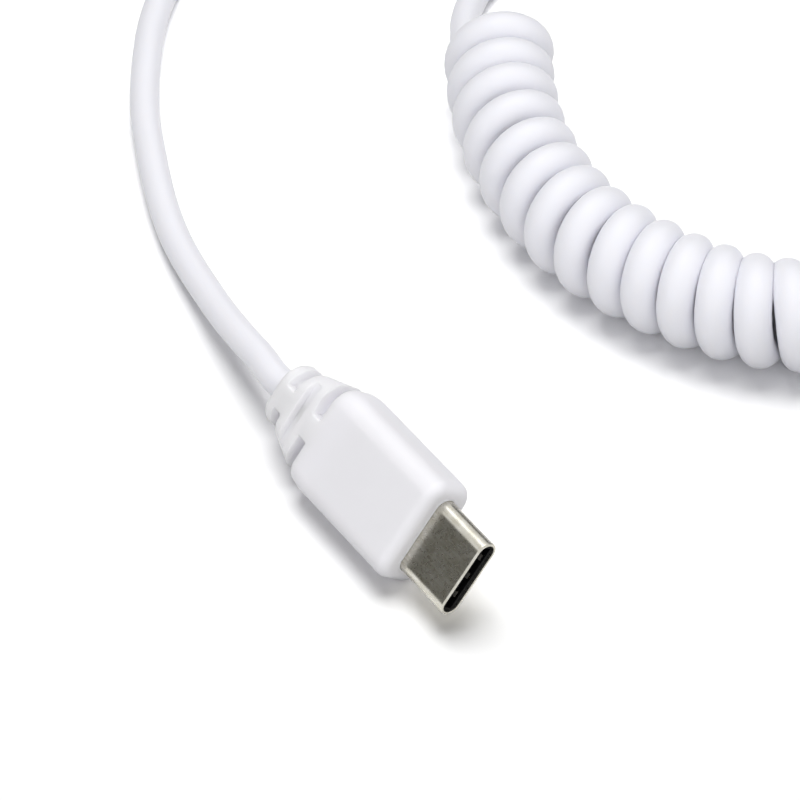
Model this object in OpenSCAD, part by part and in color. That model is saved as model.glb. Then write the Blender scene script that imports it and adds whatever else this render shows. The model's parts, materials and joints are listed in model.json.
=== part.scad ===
// Coiled cable with a moulded connector plug on each end, millimetres, +Z up.
// The origin is on the floor under the middle of the near plug, which lies rolled on one long edge
// with its open nose along +X. The far plug lies flat. Both plugs are the same assembly.

/* [Steel shell] */
// Width of the shell, round end to round end
shell_w = 8.25; // [8:0.05:8.4]
// Height of the shell
shell_h = 2.4; // [2.3:0.05:2.6]
// Thickness of the shell's wall
shell_wall = 0.28; // [0.2:0.02:0.34]
// Length of shell that stands out of the moulding
shell_out = 6.65; // [6.2:0.05:7.2]
// Length of shell that is held inside the moulding
shell_held = 2.1; // [1.4:0.1:2.6]
// Chamfer of the shell's front edge
shell_lead = 0.12; // [0.06:0.02:0.16]

/* [Moulding] */
// Width of the moulded body
over_w = 11.2; // [10.6:0.1:12.3]
// Thickness of the moulded body
over_h = 6.1; // [5.9:0.1:6.6]
// Corner radius of the body's section
over_corner = 2; // [1.4:0.1:2.4]
// Rounding of the body's front edge
front_edge = 1.1; // [0.5:0.1:1.3]
// Length of the straight body, from its front face to the shoulder
body_len = 14.75; // [14.2:0.05:17]
// Length of the tapered strain relief with its collar
relief_len = 8; // [7.6:0.1:10]
// Width of the strain relief at the cord
tail_w = 6.7; // [6:0.1:7.6]
// Thickness of the strain relief at the cord
tail_h = 5; // [4.8:0.1:5.6]
// Length of the plain collar at the cord's end
collar_len = 1.3; // [1:0.1:2]
// Width of each groove in the strain relief
groove_w = 1.1; // [0.6:0.05:1.3]
// Depth of the grooves in the broad faces
groove_depth = 0.7; // [0.4:0.05:0.75]
// Spacing of the grooves along the strain relief
groove_pitch = 2.33; // [2:0.01:2.5]
// Width of the web that is left in the middle of a side groove
web_w = 2.8; // [2:0.1:3.4]
// Length of the groove across the broad face
window_w = 7.2; // [5:0.1:7.4]

/* [Cord] */
// Diameter of the cord
cord_d = 3.1; // [2.9:0.05:3.3]
// Outside diameter of the curl
curl_d = 11.4; // [10.8:0.1:11.8]

/* [Insulator and contacts] */
// Height of the mouth that takes the mating tongue
mouth_h = 0.95; // [0.8:0.05:1.05]
// Width of the mouth
mouth_w = 6.95; // [6.8:0.05:7]
// Depth of the mouth behind the insulator's face
mouth_depth = 6; // [5.6:0.1:6.2]
// Set-back of the insulator's face from the shell's front edge
face_set = 0.25; // [0.15:0.05:0.4]
// Spacing of the contacts
pitch = 0.5; // [0.48:0.01:0.52]
// Width of a contact
contact_w = 0.26; // [0.2:0.01:0.32]
// Thickness of the contact strip
contact_t = 0.15; // [0.1:0.01:0.18]
// Width of a ground spring's finger
finger_w = 0.6; // [0.4:0.05:0.8]
// Spacing of the ground spring's fingers
finger_pitch = 2.15; // [1.8:0.05:2.3]
// Thickness of the ground spring
spring_t = 0.12; // [0.08:0.01:0.13]
// Thickness of the latch plate
latch_t = 0.25; // [0.2:0.01:0.3]

/* [Circuit card and shield] */
// Width of the circuit card
card_w = 7.3; // [6.6:0.1:7.4]
// Thickness of the circuit card
card_t = 0.7; // [0.6:0.05:0.8]
// Length of the circuit card
card_len = 6.7; // [6:0.1:7.2]
// Outside width of the shield can
can_w = 9.4; // [9:0.1:9.6]
// Outside height of the shield can
can_h = 4.4; // [4.2:0.1:4.6]
// Thickness of the shield can
can_t = 0.2; // [0.12:0.02:0.24]
// Length of the shield can without its crimp
can_len = 11; // [10.6:0.1:11.4]
// Length of the crimp on the cord
crimp_len = 2; // [1.4:0.1:2.4]
// Diameter of a power wire
power_d = 0.72; // [0.6:0.02:0.76]
// Diameter of a signal wire
signal_d = 0.5; // [0.4:0.02:0.54]

/* [How it lies] */
// Roll of the near plug about its own length
near_roll = 50; // [30:1:60]
// Turn of the far plug on the floor
far_turn = -20; // [-30:1:-10]

/* [Hidden] */
ENDS = ["near", "far"];
SIDES = ["upper", "lower"];
TOP_PINS = [1, 4, 5, 6, 7, 9, 12];
BOTTOM_PINS = [1, 4, 5, 9, 12];

// A small gap keeps neighbours from sharing a face, and eps carries a cut past a face.
gap = 0.02;
eps = 0.05;

// Places along a plug are distances back from its nose.
shell_end = shell_out + shell_held;
shoulder_at = shell_out + body_len;
plug_len = shoulder_at + relief_len;
collar_at = plug_len - collar_len;
shoulder_blend = 1.2;
tail_edge = 0.5;
tail_corner = tail_h / 2 - 0.2;
sleeve_w = 5;
cut_past = 2;

insul_w = shell_w - 2 * shell_wall - 2 * gap;
insul_h = shell_h - 2 * shell_wall - 2 * gap;
mouth_end = face_set + mouth_depth;
insul_end = mouth_end + 1.15;

contact_front = face_set + 1.35;
contact_tail = 2;
tip_back = 0.1;
bump_back = 0.9;
beam_back = 4;
beam_z = mouth_h / 2 + contact_t / 2;
bump_z = mouth_h / 2 - 0.18;
middle_pin = 6.5;

spring_at = face_set + 1.4;
spring_len = 0.8;
spring_w = 2 * finger_pitch + 1.7;
spring_z = insul_h / 2 - spring_t / 2 - gap;
window_at = face_set + 0.15;
window_side = 0.15;

latch_w = 0.3;
latch_y = insul_w / 2 - 0.2;
latch_at = face_set + 1.6;
hook_back = 1.35;
hook_at = latch_at + hook_back;
hook_reach = 0.35;
bar_at = mouth_end + 0.5;
bar_end = insul_end - 0.15;

card_at = insul_end + 0.45;
card_end = card_at + card_len;
solder_at = card_end - 0.8;
solder_rise = 0.16;

can_at = shell_out + 0.95;
can_end = can_at + can_len;
can_corner = 1.2;
crimp_d = cord_d + 2 * gap + 2 * can_t;
jacket_at = can_end - 1;
mold_at = card_at + contact_tail;

// Each wire: name, colour, diameter, place across the card, side of the card, place in the cord.
WIRES = [
    ["vbus", "red", power_d, 2.1, 1, 0.5, 0.25],
    ["gnd", "black", power_d, -2.1, 1, -0.5, 0.25],
    ["cc", "royalblue", signal_d, 0, 1, 0, 0.75],
    ["d_plus", "green", signal_d, 0.9, -1, 0.3, -0.45],
    ["d_minus", "white", signal_d, -0.9, -1, -0.3, -0.45]];

// The near plug rests on the rounded edge that its roll turns down.
near_lift = (over_w / 2 - over_corner) * sin(near_roll)
    + (over_h / 2 - over_corner) * cos(near_roll) + over_corner;
near_nose = [plug_len / 2, 0, near_lift];
far_heading = [cos(far_turn), sin(far_turn), 0];
far_tail = [-14.5, 92.3, over_h / 2 + gap];
far_nose = far_tail + plug_len * far_heading;

// Where the cord lies on the floor, hand picked, and the middle line of the curl.
cord_z = cord_d / 2 + gap;
curl_z = curl_d / 2 + gap;
near_route = [
    [-17.5, 0, 5.3], [-20.5, 0.5, 4.9], [-24.5, 1, 4.1], [-29, 1.7, 3.2], [-33, 2.5, 2.5],
    [-37.5, 3.4, 2], [-42, 4.5, 1.7], [-46.5, 6, cord_z], [-50.6, 7.7, cord_z], [-54.7, 9.6, cord_z],
    [-58.9, 11.7, cord_z], [-62.8, 14.1, cord_z], [-66.6, 16.8, cord_z], [-70.3, 19.7, cord_z],
    [-73.7, 23, cord_z], [-76.4, 26.4, cord_z], [-79, 30.5, cord_z], [-80.8, 35.4, cord_z],
    [-81.5, 40.5, cord_z], [-81.1, 45.8, cord_z], [-79.5, 51, cord_z], [-76.7, 56, cord_z],
    [-72.8, 60.3, cord_z], [-67.7, 62.8, cord_z], [-62.8, 62.2, cord_z], [-59.3, 58.8, cord_z],
    [-57, 54.5, cord_z], [-55.2, 50.9, cord_z], [-52.8, 48, cord_z]];
curl_route = [
    [-45.5, 47, curl_z], [-38.6, 42.2, curl_z], [-31.1, 38.5, curl_z], [-22.6, 36.4, curl_z],
    [-14.5, 36.3, curl_z], [-7, 38.2, curl_z], [-0.5, 41.3, curl_z], [4.8, 45.7, curl_z],
    [9, 52.5, curl_z], [10, 59.5, curl_z], [7.5, 66.5, curl_z], [2.5, 71.5, curl_z],
    [-4.5, 75, curl_z], [-12, 77.5, curl_z], [-19.5, 80.5, curl_z]];
far_route = [
    [-29.8, 80.6, cord_z], [-33.3, 83, cord_z], [-35.1, 86.8, cord_z], [-34.7, 91, cord_z],
    [-32.3, 94.5, cord_z], [-28.5, 96.3, cord_z], [-24.3, 95.9, 1.8], [-19.5, 94.2, 2.4]];

// The cord meets each face of the curl low down, square to it: right of the curl's middle at the
// first turn and left of it at the last, as the turns wind.
cord_aside = 3.5;
square_run = 2.5;
curl_last = len(curl_route) - 1;
start_heading = heading(curl_route[0], curl_route[1]);
end_heading = heading(curl_route[curl_last - 1], curl_route[curl_last]);
curl_in = beside(curl_route[0], start_heading, 1);
curl_out = beside(curl_route[curl_last], end_heading, -1);
near_lead_route = concat(
    [near_nose - [jacket_at, 0, 0], near_nose - [plug_len + gap, 0, 0]],
    near_route,
    [curl_in - square_run * start_heading, curl_in]);
far_lead_route = concat(
    [curl_out, curl_out + square_run * end_heading],
    far_route,
    [far_tail - gap * far_heading, far_nose - jacket_at * far_heading]);

function heading(a, b) = (b - a) / norm(b - a);
function beside(p, along, side) =
    [p.x + side * cord_aside * along.y, p.y - side * cord_aside * along.x, cord_z];

// Flat shapes, drawn across the plug, and the run that carries them back from the nose.
module rounded(w, h, r) {
    square([w - 2 * r, h], center = true);
    square([w, h - 2 * r], center = true);
    for (y = [-1, 1], z = [-1, 1])
        translate([y * (w / 2 - r), z * (h / 2 - r)]) circle(r = r, $fn = 32);
}

module round_ended(w, h) {
    square([w - h, h], center = true);
    for (y = [-1, 1])
        translate([y * (w - h) / 2, 0]) circle(d = h, $fn = 48);
}

module run_back(from, to) {
    translate([-to, 0, 0]) rotate([90, 0, 90]) linear_extrude(to - from) children();
}

function arc(y, z, r, from) = [for (a = [from:15:from + 90]) [y + r * cos(a), z + r * sin(a)]];

function section(back, w, h, r) =
    let (y = w / 2 - r, z = h / 2 - r)
    [for (p = concat(arc(y, z, r, 0), arc(-y, z, r, 90), arc(-y, -z, r, 180), arc(y, -z, r, 270)))
        [-back, p[0], p[1]]];

// Skins a list of sections that have equally many points.
module skin(rings) {
    n = len(rings[0]);
    last = len(rings) - 1;
    sides = [for (i = [0:last - 1], k = [0:n - 1])
        let (a = i * n + k, b = i * n + (k + 1) % n)
        each [[a, b, a + n], [b, b + n, a + n]]];
    front = [for (k = [n - 1:-1:0]) k];
    rear = [for (k = [0:n - 1]) last * n + k];
    polyhedron(points = [for (r = rings, p = r) p], faces = concat(sides, [front, rear]));
}

// The strain relief narrows steadily after a blended shoulder.
function narrowing(back) =
    let (d = back - shoulder_at + shoulder_blend)
    d <= 0 ? 0 : d < 2 * shoulder_blend ? d * d / (4 * shoulder_blend) : d - shoulder_blend;
function share(back) = min(1, narrowing(back) / (collar_at - shoulder_at));
function width_at(back) = over_w + (tail_w - over_w) * share(back);
function height_at(back) = over_h + (tail_h - over_h) * share(back);
function corner_at(back) = over_corner + (tail_corner - over_corner) * share(back);

function body_section(back, inset) =
    section(back, width_at(back) - 2 * inset, height_at(back) - 2 * inset, corner_at(back) - inset);

module moulding_skin() {
    skin(concat(
        [for (a = [0, 20, 40, 65, 90])
            body_section(shell_out + front_edge * (1 - cos(a)), front_edge * (1 - sin(a)))],
        [for (step = [-1:0.5:1]) body_section(shoulder_at + shoulder_blend * step, 0)],
        [body_section(collar_at, 0)],
        [for (a = [0, 45, 90])
            body_section(plug_len - tail_edge * (1 - sin(a)), tail_edge * (1 - cos(a)))]));
}

// A side groove leaves a sleeve round the cord and a web in the middle of each broad face.
module side_groove(at) {
    sleeve_h = height_at(at) - 2 * groove_depth;
    difference() {
        run_back(at - groove_w / 2, at + groove_w / 2)
            square([over_w + cut_past, over_h + cut_past], center = true);
        run_back(at - groove_w, at + groove_w) round_ended(sleeve_w, sleeve_h);
        run_back(at - groove_w, at + groove_w) square([web_w, over_h + 2 * cut_past], center = true);
    }
}

module face_groove(at) {
    floor_z = height_at(at) / 2 - groove_depth;
    for (z = [-1, 1])
        run_back(at - groove_w / 2, at + groove_w / 2)
            translate([0, z * (floor_z + over_h / 2)]) square([window_w, over_h], center = true);
}

module overmold() {
    last_groove = collar_at - groove_w / 2;
    color("ghostwhite") difference() {
        moulding_skin();
        side_groove(last_groove);
        face_groove(last_groove - groove_pitch);
        side_groove(last_groove - 2 * groove_pitch);
        run_back(shell_out - eps, can_at) round_ended(shell_w + 2 * gap, shell_h + 2 * gap);
        run_back(can_at - gap, can_end + gap) rounded(can_w + 2 * gap, can_h + 2 * gap, can_corner);
        run_back(can_end, can_end + crimp_len + gap) circle(d = crimp_d + 2 * gap, $fn = 48);
        run_back(can_end, plug_len + eps) circle(d = cord_d + 2 * gap, $fn = 48);
    }
}

// The shell is a bar with round ends and a chamfered front, hollowed from end to end.
module shell() {
    flat = shell_w - shell_h;
    r = shell_h / 2;
    color("darkgray") difference() {
        union() {
            rotate([90, 0, 0]) linear_extrude(flat, center = true)
                polygon([[-shell_end, -r], [-shell_lead, -r], [0, shell_lead - r], [0, r - shell_lead],
                    [-shell_lead, r], [-shell_end, r]]);
            for (y = [-1, 1])
                translate([0, y * flat / 2, 0]) rotate([0, 90, 0]) rotate_extrude($fn = 48)
                    polygon([[0, -shell_end], [r, -shell_end], [r, -shell_lead], [r - shell_lead, 0],
                        [0, 0]]);
        }
        run_back(-eps, shell_end + eps) round_ended(shell_w - 2 * shell_wall, shell_h - 2 * shell_wall);
    }
}

// Strips of even height that follow a list of places: distance back and height.
module strip(path, t, w) {
    rotate([90, 0, 0]) linear_extrude(w, center = true)
        polygon(concat([for (p = path) [-p[0], p[1] + t / 2]],
            [for (k = [len(path) - 1:-1:0]) [-path[k][0], path[k][1] - t / 2]]));
}

// The lower half of a plug's inner pieces is the upper half turned over.
module on_side(side) {
    rotate([side == "upper" ? 0 : 180, 0, 0]) children();
}

function pin_y(pin) = (middle_pin - pin) * pitch;

module contact_place(row, pin) {
    on_side(row == "a" ? "upper" : "lower") translate([0, pin_y(pin), 0]) children();
}

module contact(row, pin) {
    tail_z = card_t / 2 + contact_t / 2;
    color("gold") contact_place(row, pin)
        strip([[contact_front + tip_back, beam_z], [contact_front + bump_back, bump_z],
            [contact_front + beam_back, beam_z], [insul_end + 0.2, beam_z], [card_at + 0.35, tail_z],
            [card_at + contact_tail - 0.45, tail_z]], contact_t, contact_w);
}

module contact_slot(row, pin) {
    w = contact_w + 2 * gap;
    front_h = beam_z + contact_t / 2 + gap;
    contact_place(row, pin) {
        run_back(contact_front, mouth_end) translate([0, front_h / 2]) square([w, front_h], center = true);
        run_back(contact_front, insul_end + eps)
            translate([0, beam_z]) square([w, contact_t + 2 * gap], center = true);
    }
}

// The ground spring's fingers bend in from a plate that lies outside the insulator.
module ground_spring(side) {
    color("silver") on_side(side) {
        run_back(spring_at, spring_at + spring_len)
            translate([0, spring_z]) square([spring_w, spring_t], center = true);
        for (y = [-1, 0, 1])
            translate([0, y * finger_pitch, 0])
                strip([[spring_at + spring_t, spring_z], [face_set + 0.65, mouth_h / 2 + 0.02],
                    [face_set + 0.35, mouth_h / 2 + 0.14]], spring_t, finger_w);
    }
}

module spring_slots(side) {
    depth = spring_t + 2 * gap;
    on_side(side) {
        run_back(spring_at - gap, spring_at + spring_len + gap)
            translate([0, insul_h / 2 - depth / 2 + eps / 2])
                square([spring_w + 2 * gap, depth + eps], center = true);
        for (y = [-1, 0, 1])
            run_back(window_at, spring_at + spring_t)
                translate([y * finger_pitch, insul_h / 2])
                    square([finger_w + 2 * window_side, insul_h], center = true);
    }
}

// The latch is a flat fork with a hook on the inner side of each arm.
module latch_outline(grow) {
    outer = latch_y + latch_w / 2 + grow;
    inner = latch_y - latch_w / 2 - grow;
    half = [[-bar_end - grow, outer], [grow - latch_at, outer], [grow - latch_at, inner],
        [grow + hook_reach - hook_at, inner], [-hook_at, inner - hook_reach],
        [-hook_at - hook_reach - grow, inner], [grow - bar_at, inner]];
    polygon(concat(half, [for (k = [len(half) - 1:-1:0]) [half[k].x, -half[k].y]]));
}

module latch_spring() {
    color("silver") linear_extrude(latch_t, center = true) latch_outline(0);
}

module insulator() {
    slit = latch_t + 2 * gap;
    color("dimgray") difference() {
        run_back(face_set, insul_end) round_ended(insul_w, insul_h);
        run_back(face_set - eps, mouth_end) square([mouth_w, mouth_h], center = true);
        linear_extrude(slit, center = true) latch_outline(gap);
        run_back(bar_end - eps, insul_end + eps)
            square([2 * latch_y + latch_w + 2 * gap, slit], center = true);
        for (pin = TOP_PINS) contact_slot("a", pin);
        for (pin = BOTTOM_PINS) contact_slot("b", pin);
        for (side = SIDES) spring_slots(side);
    }
}

module circuit_card() {
    color("seagreen") run_back(card_at, card_end) square([card_w, card_t], center = true);
}

// Wires run straight from their pads to the end of the jacket.
module rod(from, to, d) {
    run = to - from;
    translate(from) rotate([0, acos(run.z / norm(run)), atan2(run.y, run.x)])
        cylinder(d = d, h = norm(run), $fn = 24);
}

module wire_rod(wire, from, to, grow) {
    pad = [-solder_at, wire[3], wire[4] * (card_t / 2 + wire[2] / 2 + solder_rise)];
    core = [-jacket_at, wire[5], wire[6]];
    intersection() {
        rod(pad + 0.2 * (pad - core), core + 0.2 * (core - pad), wire[2] + 2 * grow);
        run_back(from, to) square([can_w, can_h], center = true);
    }
}

module wire(facts) {
    color(facts[1]) wire_rod(facts, solder_at, jacket_at, 0);
}

// The inner moulding seals the card and the wires inside the shield can.
module inner_mold() {
    w = can_w - 2 * can_t - 2 * gap;
    h = can_h - 2 * can_t - 2 * gap;
    color("whitesmoke") difference() {
        run_back(mold_at, jacket_at - gap) rounded(w, h, can_corner - can_t);
        run_back(mold_at - eps, card_end + gap) square([card_w + 2 * gap, card_t + 2 * gap], center = true);
        for (facts = WIRES) wire_rod(facts, solder_at - gap, jacket_at + gap, gap);
    }
}

// Each half of the shield can closes round the shell in front and round the cord behind.
module shield_can(side) {
    color("lightgray") intersection() {
        difference() {
            union() {
                run_back(can_at, can_end) rounded(can_w, can_h, can_corner);
                run_back(can_end - eps, can_end + crimp_len) circle(d = crimp_d, $fn = 48);
            }
            run_back(can_at + can_t, can_end - can_t)
                rounded(can_w - 2 * can_t, can_h - 2 * can_t, can_corner - can_t);
            run_back(can_at - eps, can_at + can_t + eps)
                round_ended(shell_w + 2 * gap, shell_h + 2 * gap);
            run_back(can_end - can_t - eps, can_end + crimp_len + eps)
                circle(d = cord_d + 2 * gap, $fn = 48);
        }
        on_side(side) run_back(can_at - eps, can_end + crimp_len + eps)
            translate([-can_w, 0]) square([2 * can_w, can_h]);
    }
}

// A cord is skinned along its route; a thick one has more sides.
function across(route, i) =
    heading(route[max(i - 1, 0)], route[min(i + 1, len(route) - 1)]);

function ring(at, along, d, sides) =
    let (right = cross(along, [0, 0, 1]) / norm(cross(along, [0, 0, 1])), up = cross(right, along))
    [for (k = [0:sides - 1]) at + d / 2 * (cos(360 * k / sides) * right + sin(360 * k / sides) * up)];

module tube(route, d, sides) {
    skin([for (i = [0:len(route) - 1]) ring(route[i], across(route, i), d, sides)]);
}

module near_lead() {
    color("ghostwhite") tube(near_lead_route, cord_d, 8);
}

module curl() {
    color("ghostwhite") tube(curl_route, curl_d, 12);
}

module far_lead() {
    color("ghostwhite") tube(far_lead_route, cord_d, 8);
}

// Both plugs are drawn nose at the origin and put in their places here.
module place(end) {
    if (end == "near")
        translate(near_nose) rotate([near_roll, 0, 0]) children();
    else
        translate(far_nose) rotate([0, 0, far_turn]) children();
}

for (end = ENDS) {
    place(end) overmold();
    place(end) shell();
    place(end) insulator();
    place(end) latch_spring();
    place(end) circuit_card();
    place(end) inner_mold();
    for (side = SIDES) {
        place(end) ground_spring(side);
        place(end) shield_can(side);
    }
    for (pin = TOP_PINS)
        place(end) contact("a", pin);
    for (pin = BOTTOM_PINS)
        place(end) contact("b", pin);
    for (facts = WIRES)
        place(end) wire(facts);
}
near_lead();
curl();
far_lead();
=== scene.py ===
import json
import math
import bmesh
import bpy
from bpy.props import FloatProperty, FloatVectorProperty, IntProperty, PointerProperty
from bpy.types import Operator, Panel, PropertyGroup
from mathutils import Matrix, Vector

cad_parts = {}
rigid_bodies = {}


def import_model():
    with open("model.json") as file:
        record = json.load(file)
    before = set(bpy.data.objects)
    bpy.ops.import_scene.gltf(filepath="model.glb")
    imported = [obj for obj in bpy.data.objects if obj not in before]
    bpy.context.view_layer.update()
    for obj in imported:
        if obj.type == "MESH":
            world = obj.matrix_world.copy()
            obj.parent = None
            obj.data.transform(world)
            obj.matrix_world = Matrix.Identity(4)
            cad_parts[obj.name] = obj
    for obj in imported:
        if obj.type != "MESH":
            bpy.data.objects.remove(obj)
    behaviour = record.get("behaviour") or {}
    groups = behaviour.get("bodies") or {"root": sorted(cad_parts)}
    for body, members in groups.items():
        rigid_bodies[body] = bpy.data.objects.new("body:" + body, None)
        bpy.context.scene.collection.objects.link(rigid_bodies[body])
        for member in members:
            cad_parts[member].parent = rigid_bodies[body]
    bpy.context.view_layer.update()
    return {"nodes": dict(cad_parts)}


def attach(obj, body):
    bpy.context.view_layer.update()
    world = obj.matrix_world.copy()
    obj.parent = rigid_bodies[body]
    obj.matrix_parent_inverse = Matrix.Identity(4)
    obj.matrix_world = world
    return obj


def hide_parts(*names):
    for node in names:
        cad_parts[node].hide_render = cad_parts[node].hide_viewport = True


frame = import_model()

bl_info = {
    "name": "Coiled cable",
    "version": (1, 0, 0),
    "blender": (4, 5, 0),
    "location": "View3D > Sidebar > Cable",
    "description": "Makes a coiled cable with a moulded plug on each end, lying on a white table",
    "category": "Add Mesh",
}

MM = 0.001


# Sizes and colours that a user would change

class CordSizes(PropertyGroup):
    diameter: FloatProperty(
        name="Cord diameter", description="Outside diameter of the jacket",
        default=0.0031, unit="LENGTH", subtype="DISTANCE")
    wound_diameter: FloatProperty(
        name="Wound diameter",
        description="Outside diameter of the jacket where it is wound and heat-set",
        default=0.00375, unit="LENGTH", subtype="DISTANCE")
    tight_diameter: FloatProperty(
        name="Tight diameter", description="Outside diameter of the jacket where the turns lie closest",
        default=0.0034, unit="LENGTH", subtype="DISTANCE")
    turn_radius: FloatProperty(
        name="Turn radius", description="Radius of the jacket's middle line in a turn of the curl",
        default=0.00374, unit="LENGTH", subtype="DISTANCE")
    first_swell: FloatProperty(
        name="First turn's swell",
        description="How much wider the first turn stands than the others",
        default=0.0001, unit="LENGTH", subtype="DISTANCE")
    pitch: FloatProperty(
        name="Pitch", description="Spacing of the turns where the curl lies closed",
        default=0.00339, unit="LENGTH", subtype="DISTANCE")
    steps_per_turn: IntProperty(
        name="Steps per turn", description="Rings of the jacket's mesh in one turn", default=36)
    sides: IntProperty(name="Sides", description="Points round the jacket", default=24)


class PlugSizes(PropertyGroup):
    shell_width: FloatProperty(
        name="Shell width", description="Width of the steel shell over its round ends",
        default=0.00825, unit="LENGTH", subtype="DISTANCE")
    shell_height: FloatProperty(
        name="Shell height", description="Height of the steel shell",
        default=0.0024, unit="LENGTH", subtype="DISTANCE")
    shell_wall: FloatProperty(
        name="Shell wall", description="Thickness of the steel shell",
        default=0.00028, unit="LENGTH", subtype="DISTANCE")
    shell_out: FloatProperty(
        name="Shell length", description="Length of shell that stands out of the moulding",
        default=0.00665, unit="LENGTH", subtype="DISTANCE")
    body_width: FloatProperty(
        name="Body width", description="Width of the moulded body",
        default=0.0112, unit="LENGTH", subtype="DISTANCE")
    body_height: FloatProperty(
        name="Body thickness", description="Thickness of the moulded body",
        default=0.0061, unit="LENGTH", subtype="DISTANCE")
    front_edge: FloatProperty(
        name="Front edge", description="Rounding of the body's front edge",
        default=0.0011, unit="LENGTH", subtype="DISTANCE")
    groove_width: FloatProperty(
        name="Groove width", description="Width of the grooves in the strain relief",
        default=0.0011, unit="LENGTH", subtype="DISTANCE")
    groove_depth: FloatProperty(
        name="Groove depth", description="Depth of the grooves in the broad faces",
        default=0.0007, unit="LENGTH", subtype="DISTANCE")
    groove_lip: FloatProperty(
        name="Groove lip", description="Rounding of the grooves' edges",
        default=0.00032, unit="LENGTH", subtype="DISTANCE")


class Finishes(PropertyGroup):
    jacket: FloatVectorProperty(
        name="Jacket", description="Colour of the cord's jacket, sRGB",
        default=(0.937, 0.936, 0.96), size=3, subtype="COLOR_GAMMA", min=0.0, max=1.0)
    molding: FloatVectorProperty(
        name="Moulding", description="Colour of the moulded plug, sRGB",
        default=(0.949, 0.945, 0.965), size=3, subtype="COLOR_GAMMA", min=0.0, max=1.0)
    steel: FloatVectorProperty(
        name="Steel", description="Colour of the plug's shell, sRGB",
        default=(0.84, 0.83, 0.8), size=3, subtype="COLOR_GAMMA", min=0.0, max=1.0)


class StageSettings(PropertyGroup):
    ambient: FloatProperty(
        name="Ambient", description="Strength of the studio's even light", default=0.1)
    table_key: FloatProperty(
        name="Table's key",
        description="Power of the soft lamp behind that casts the shadows, in watts",
        default=0.9)
    cable_key: FloatProperty(
        name="Cable's key", description="Power of the same lamp as the cable gets it, in watts",
        default=0.34)
    side_fill: FloatProperty(
        name="Side fill", description="Power of the soft lamp at the cable's left, in watts",
        default=0.88)
    front_fill: FloatProperty(
        name="Front fill", description="Power of the soft lamp in front of the cable, in watts",
        default=0.5)
    back_fill: FloatProperty(
        name="Back fill", description="Power of the soft lamp behind the cable's right, in watts",
        default=0.55)
    table_gain: FloatProperty(
        name="Table exposure", description="How far the table is exposed to the page's white",
        default=2.05)


# Small helpers

def linear(hex_code):
    """An sRGB hex value as linear red, green and blue with full alpha."""
    parts = [int(hex_code[k:k + 2], 16) / 255 for k in (0, 2, 4)]
    return tuple(c / 12.92 if c <= 0.04045 else ((c + 0.055) / 1.055) ** 2.4 for c in parts) + (1.0,)


def hex_of(color):
    """An sRGB colour as a hex value."""
    return "".join(f"{round(max(0.0, min(1.0, c)) * 255):02X}" for c in color)


def add_node(tree, kind, settings=None, values=None, links=None):
    """Adds a node with its settings, its sockets' own values and the links into it."""
    made = tree.nodes.new(kind)
    for name, value in (settings or {}).items():
        setattr(made, name, value)
    for socket, value in (values or {}).items():
        made.inputs[socket].default_value = value
    for socket, source in (links or {}).items():
        tree.links.new(source, made.inputs[socket])
    return made


def smooth_step(x, low, high):
    """Goes from 0 at low to 1 at high with level ends."""
    t = max(0.0, min(1.0, (x - low) / (high - low)))
    return t * t * (3 - 2 * t)


def through(points, step):
    """Points about a step apart on one smooth curve through the given points, in millimetres."""
    ends = [points[0] * 2 - points[1]] + points + [points[-1] * 2 - points[-2]]
    out = []
    for p0, p1, p2, p3 in zip(ends, ends[1:], ends[2:], ends[3:]):
        count = max(1, round((p2 - p1).length / step))
        for k in range(count):
            t = k / count
            out.append(0.5 * (2 * p1 + (p2 - p0) * t + (2 * p0 - 5 * p1 + 4 * p2 - p3) * t ** 2
                              + (3 * p1 - p0 - 3 * p2 + p3) * t ** 3))
    return out + [points[-1].copy()]


def hermite(start, start_run, end, end_run, count):
    """The points between two ends of a curve that leaves and arrives along the given runs."""
    out = []
    for k in range(1, count):
        t = k / count
        out.append(start * (2 * t ** 3 - 3 * t ** 2 + 1) + start_run * (t ** 3 - 2 * t ** 2 + t)
                   + end * (3 * t ** 2 - 2 * t ** 3) + end_run * (t ** 3 - t ** 2))
    return out


def finish_piece(name, bm, material, slot, *nodes):
    """Makes a smooth shaded piece of a mesh in metres, on the one body, in place of CAD nodes."""
    bmesh.ops.recalc_face_normals(bm, faces=bm.faces)
    mesh = bpy.data.meshes.new(name)
    bm.to_mesh(mesh)
    bm.free()
    mesh.polygons.foreach_set("use_smooth", [True] * len(mesh.polygons))
    mesh.materials.append(material)
    piece = bpy.data.objects.new(name, mesh)
    bpy.context.scene.collection.objects.link(piece)
    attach(piece, "root")
    if nodes:
        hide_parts(*nodes)
    return piece


def skin(rings):
    """Joins rings of equally many points by quads, and the last ring to the first."""
    bm = bmesh.new()
    rows = [[bm.verts.new(p) for p in ring] for ring in rings]
    for one, two in zip(rows, rows[1:] + rows[:1]):
        for k in range(len(one)):
            j = (k + 1) % len(one)
            bm.faces.new((one[k], one[j], two[j], two[k]))
    return bm


# Where things lie, in millimetres: the same places as the solids' source

PLUG_LEN = 29.4
# The near plug lies rolled on its long edge; its lift is that of the edge's rounding.
NEAR_ROLL = math.radians(50)
NEAR_LIFT = 3.6 * math.sin(NEAR_ROLL) + 1.05 * math.cos(NEAR_ROLL) + 2
NEAR_NOSE = Vector((PLUG_LEN / 2, 0, NEAR_LIFT))
FAR_TURN = math.radians(-20)
FAR_HEADING = Vector((math.cos(FAR_TURN), math.sin(FAR_TURN), 0))
FAR_TAIL = Vector((-14.5, 92.3, 3.07))
FAR_NOSE = FAR_TAIL + PLUG_LEN * FAR_HEADING
# Behind the nose: where the jacket is stripped, and a point that keeps its line straight inside.
JACKET_AT = 17.6
STRAIGHT_AT = 24
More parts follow.
